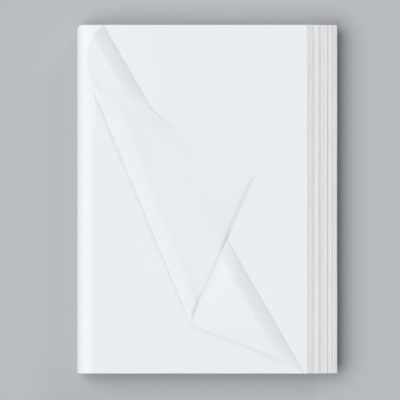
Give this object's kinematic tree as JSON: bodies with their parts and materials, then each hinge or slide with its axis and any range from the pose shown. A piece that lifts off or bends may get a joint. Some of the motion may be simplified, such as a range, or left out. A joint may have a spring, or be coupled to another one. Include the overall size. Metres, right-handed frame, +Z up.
{
  "type": "ream of tissue paper",
  "caption": "Ream of white tissue paper folded once across its middle, with stepped open edges and the top leaf's free corner turned over and rolled back.",
  "frame": {"origin": "centre of the bounding box's footprint, on the surface that the ream lies on", "axes": "+X from the folded spine to the open edges, +Y from the tail edge to the head edge along the fold, +Z up through the stack"},
  "size_m": [0.3744, 0.5012, 0.0554],
  "materials": {
    "tissue": "soft uncoated white tissue"
  },
  "bodies": {
    "root": {"top_sheet": "tissue", "quire_01": "tissue", "quire_02": "tissue", "quire_03": "tissue", "quire_04": "tissue", "quire_05": "tissue", "quire_06": "tissue", "quire_07": "tissue", "quire_08": "tissue", "quire_09": "tissue", "quire_10": "tissue", "quire_11": "tissue", "quire_12": "tissue", "quire_13": "tissue", "quire_14": "tissue", "quire_15": "tissue", "quire_16": "tissue", "quire_17": "tissue", "quire_18": "tissue", "quire_19": "tissue", "quire_20": "tissue"}
  },
  "joints": []
}
